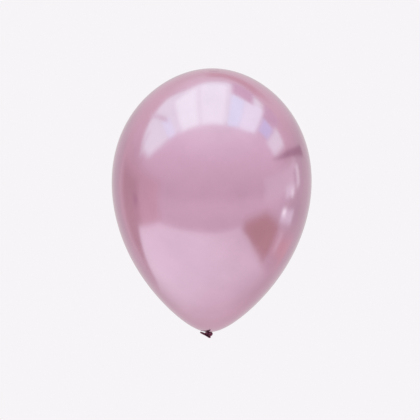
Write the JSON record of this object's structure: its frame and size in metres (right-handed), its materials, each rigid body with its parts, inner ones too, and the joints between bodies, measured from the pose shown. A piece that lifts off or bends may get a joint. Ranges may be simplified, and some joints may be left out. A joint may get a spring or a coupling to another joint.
{
  "type": "latex balloon",
  "caption": "Blown-up pear-shaped latex balloon with a metallic sheen, tied off below with an overhand knot, its short tail and rolled lip left showing.",
  "frame": {"origin": "the tie point: the middle of the pinched neck between the envelope and the knot, on the balloon's axis", "axes": "+Z along the balloon's axis from the neck up to the crown; -Y towards the side that the tail's mouth faces; +X to the right seen from that side"},
  "size_m": [0.2799, 0.28, 0.3925],
  "materials": {
    "stretched_latex": "gloss",
    "slack_latex": "gloss"
  },
  "bodies": {
    "balloon": {"envelope": "stretched_latex", "crown_spot": "stretched_latex", "neck_gather": "stretched_latex"},
    "neck": {"neck_strand": "slack_latex"},
    "knot": {"knot_core": "slack_latex", "knot_wrap": "slack_latex"},
    "tail": {"tail": "slack_latex", "rolled_lip": "slack_latex"}
  },
  "joints": [
    {"name": "neck_twist", "type": "hinge", "parent": "balloon", "child": "neck", "pos_m": [0, 0, 0.0008], "axis": [0, 0, 1], "range_deg": [-180, 180], "stiffness_Nm_per_rad": 0.0005},
    {"name": "knot_swing", "type": "hinge", "parent": "neck", "child": "knot", "pos_m": [0, 0, 0], "axis": [1, 0, 0], "range_deg": [-4, 45], "stiffness_Nm_per_rad": 0.002},
    {"name": "tail_flop", "type": "hinge", "parent": "knot", "child": "tail", "pos_m": [-0.00135, -0.00768, -0.0034], "axis": [0.8147, -0.5384, -0.2156], "range_deg": [-4, 80], "stiffness_Nm_per_rad": 0.0005}
  ]
}
